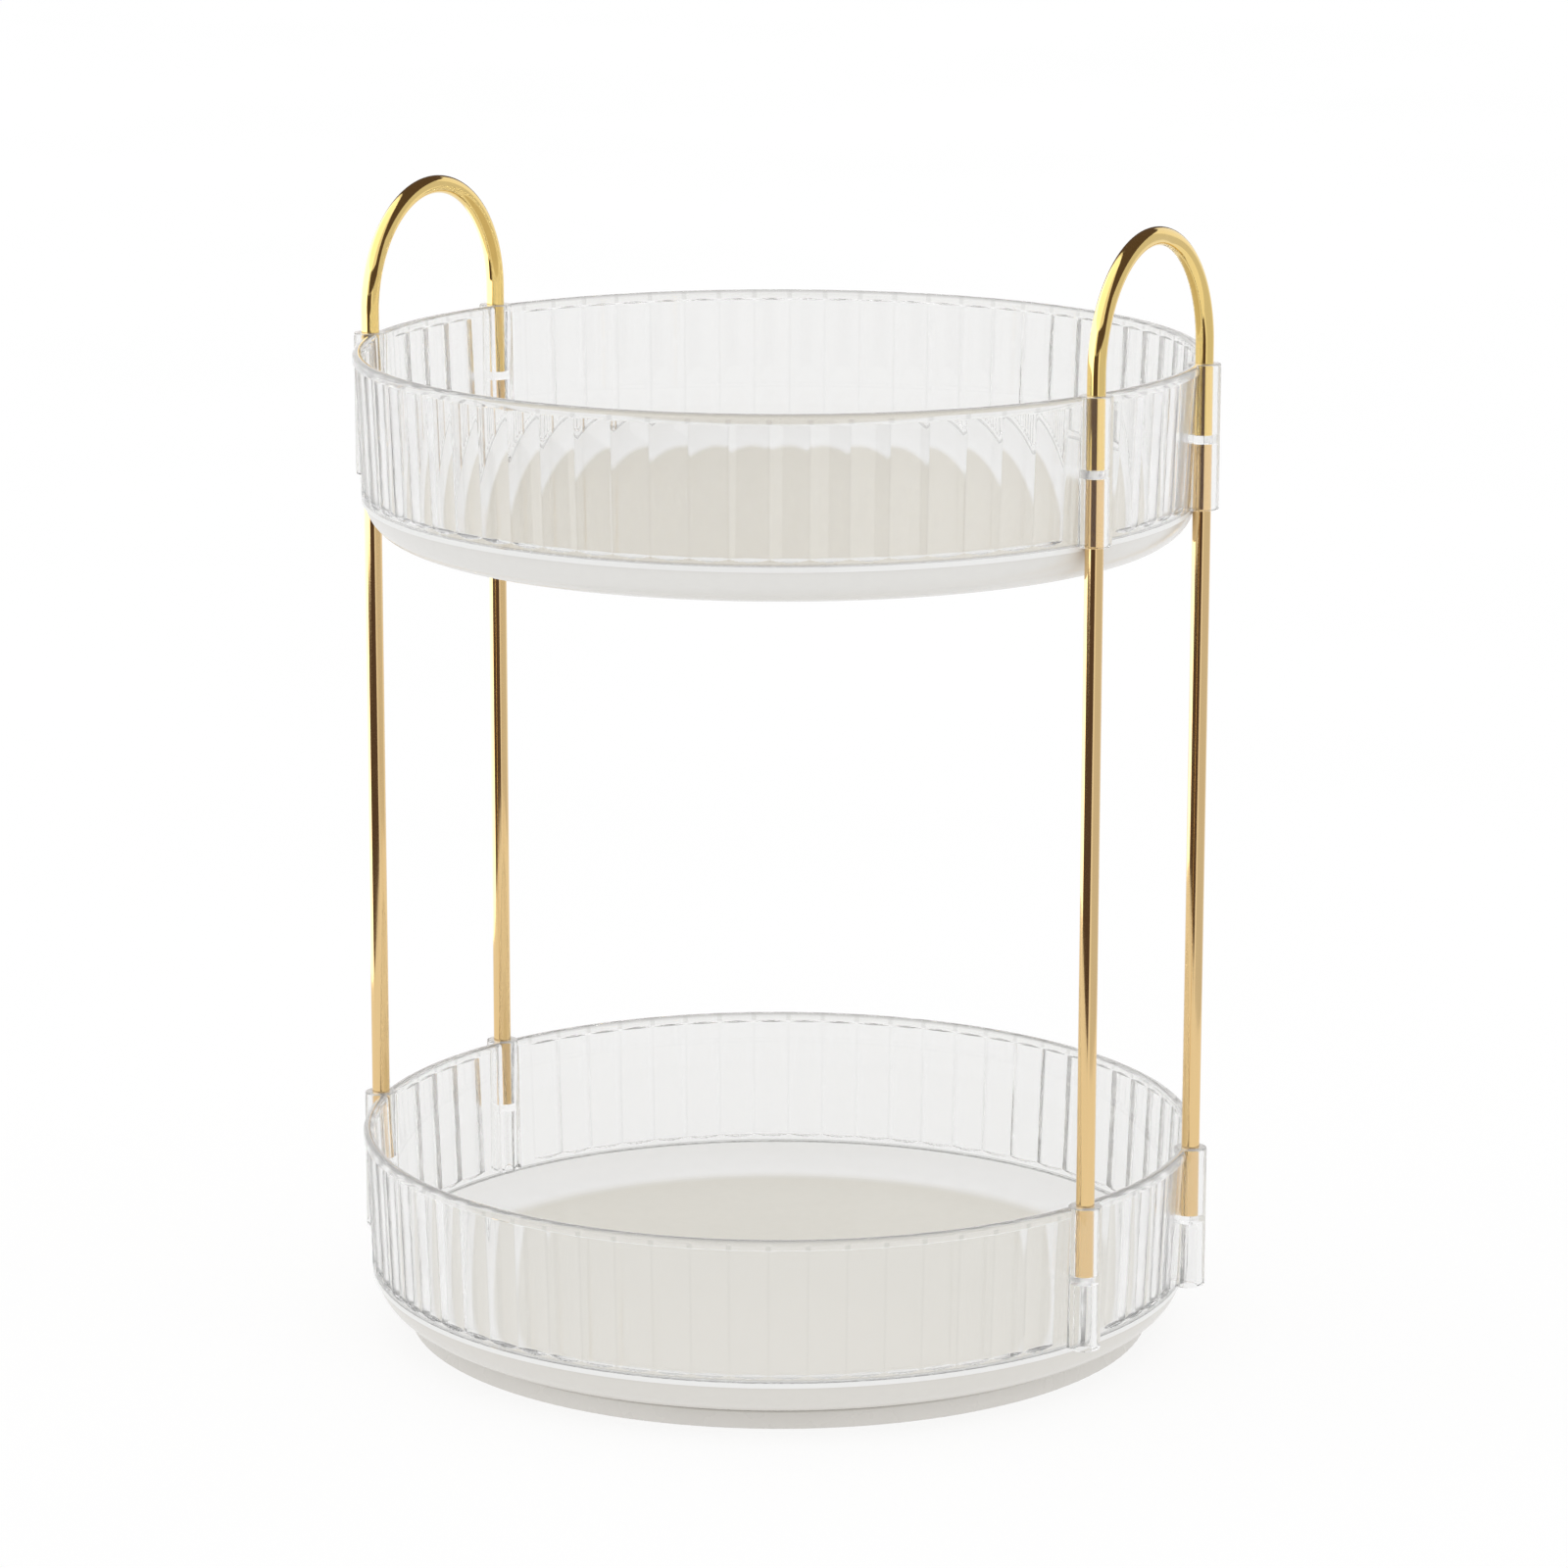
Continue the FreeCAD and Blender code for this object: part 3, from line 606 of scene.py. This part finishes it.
def card_glow(name, colour, strength, added, through):
    """Emission that only reflected light meets, and that is clear to all other light.

    With added, the card adds its light to what lies behind it instead of hiding it.
    With through, it also meets light that left through a clear wall after its reflection.
    """
    material = bpy.data.materials.new(name)
    material.use_nodes = True
    tree = material.node_tree
    nodes, links = tree.nodes, tree.links
    path = nodes.new("ShaderNodeLightPath").outputs
    reflected = math_node(tree, "SUBTRACT", path["Is Glossy Ray"], path["Is Transmission Ray"])
    beyond_glass = 0.0
    if through:
        # into the glass and out of it on the way to the reflection, and again on the way back
        once_reflected = math_node(tree, "GREATER_THAN", path["Glossy Depth"], 0.5)
        through_glass = math_node(tree, "GREATER_THAN", path["Transmission Depth"], 3.5)
        beyond_glass = math_node(tree, "MULTIPLY", once_reflected, through_glass)
    shown = math_node(tree, "MAXIMUM", reflected, beyond_glass)
    glow = nodes.new("ShaderNodeEmission")
    glow.inputs["Color"].default_value = (*colour, 1)
    glow.inputs["Strength"].default_value = strength
    clear = nodes.new("ShaderNodeBsdfTransparent")
    mix = nodes.new("ShaderNodeMixShader")
    links.new(shown, mix.inputs[0])
    links.new(clear.outputs[0], mix.inputs[1])
    links.new(glow.outputs[0], mix.inputs[2])
    if added:
        both = nodes.new("ShaderNodeAddShader")
        links.new(clear.outputs[0], both.inputs[0])
        links.new(glow.outputs[0], both.inputs[1])
        links.new(both.outputs[0], mix.inputs[2])
    links.new(mix.outputs[0], nodes["Material Output"].inputs["Surface"])
    return material


def studio_card(name, first, last, corners, colour, strength=1.0, only_for=None, through=False):
    """Curved card that only reflections see, through its (reach, height) corners in metres.

    It runs from first to last degrees from the camera's side of the object, seen from above.
    With only_for, a collection, it is a clear sheet that adds its light to those pieces alone.
    With through, reflections in what stands inside the clear walls see it too.
    """
    card = card_shape(name, first, last, corners)
    card.data.materials.append(card_glow(name, colour, strength, bool(only_for), through))
    if only_for:
        card.light_linking.receiver_collection = only_for
    card.visible_camera = False
    card.visible_diffuse = False
    card.visible_shadow = False


def studio_cards():
    """Dark and grey cards for the streaks in the gold, and lights for the gold's bright edges.

    A fill hangs before a card and lights what isn't gold as if the card weren't there.
    """
    gold_pieces = bpy.data.collections.new("gold_pieces")
    plain_pieces = bpy.data.collections.new("plain_pieces")
    for subpart in frame["record"]["subparts"]:
        group = gold_pieces if subpart["material_slot"] == "gold_tube" else plain_pieces
        group.objects.link(frame["nodes"][subpart["node"]])
    for piece in mouldings:
        plain_pieces.objects.link(piece)

    dark, grey, white = (0.10, 0.07, 0.06), (0.69, 0.69, 0.70), (1, 1, 1)
    # the cards' edges, in metres: how far out they lie, and how high
    near, middle, inside, far = 0.45, 1.2, 4.9, 5
    low, above_low, top = 0.002, 0.003, 3

    studio_card("near_card", -78, 14, [(near, low), (middle, low)], dark, through=True)
    studio_card("front_card", -38, 14, [(middle, low), (far, low), (far, 1)], dark, through=True)
    studio_card("side_card", -24, 60, [(4.8, 1), (4.8, 2.9)], dark)
    studio_card("roof_card", 20, 205, [(far, top), (0, top)], dark)
    studio_card("roof_fill", 20, 205, [(far, 2.95), (0, 2.95)], white, 0.85, plain_pieces)
    studio_card("grey_card", 30, 125, [(near, low), (far, low), (far, top)], grey, through=True)
    studio_card("grey_fill", 30, 125, [(near, above_low), (inside, above_low), (inside, top)],
                white, 0.31, plain_pieces, through=True)
    studio_card("back_card", 162, 205, [(far, 0.1), (far, top)], dark)
    studio_card("back_fill", 162, 205, [(inside, 0.1), (inside, 2.94)], white, 0.92, plain_pieces)
    studio_card("near_light", -150, -82, [(near, above_low), (middle, above_low)],
                white, 1.4, gold_pieces)
    studio_card("far_light", -150, -42, [(middle, above_low), (inside, above_low), (inside, 2.9)],
                white, 1.4, gold_pieces)
    studio_card("high_light", -150, -20, [(inside, 2.9), (0, 2.9)], white, 0.5, gold_pieces)


studio_floor()
studio_world()
studio_cards()


# ---------------------------------------------------------------- camera

def photo_camera():
    """The camera of the photograph, aimed by its own angles."""
    camera = bpy.data.objects.new("photo_camera", bpy.data.cameras.new("photo_camera"))
    camera.data.lens = CAMERA_LENS
    camera.data.sensor_width = CAMERA_SENSOR
    azimuth = math.radians(CAMERA_AZIMUTH)
    place = Vector((CAMERA_REACH * math.sin(azimuth), -CAMERA_REACH * math.cos(azimuth),
                    CAMERA_HEIGHT))
    turn = (Matrix.Rotation(math.radians(CAMERA_AZIMUTH + CAMERA_YAW), 4, "Z")
            @ Matrix.Rotation(math.radians(90 - CAMERA_PITCH), 4, "X")
            @ Matrix.Rotation(math.radians(CAMERA_ROLL), 4, "Z"))
    camera.matrix_world = Matrix.Translation(place) @ turn
    bpy.context.scene.collection.objects.link(camera)
    bpy.context.scene.camera = camera


photo_camera()
scene = bpy.context.scene
scene.view_settings.view_transform = "Standard"
scene.cycles.max_bounces = LIGHT_BOUNCES
scene.cycles.transmission_bounces = LIGHT_BOUNCES
scene.cycles.glossy_bounces = LIGHT_BOUNCES
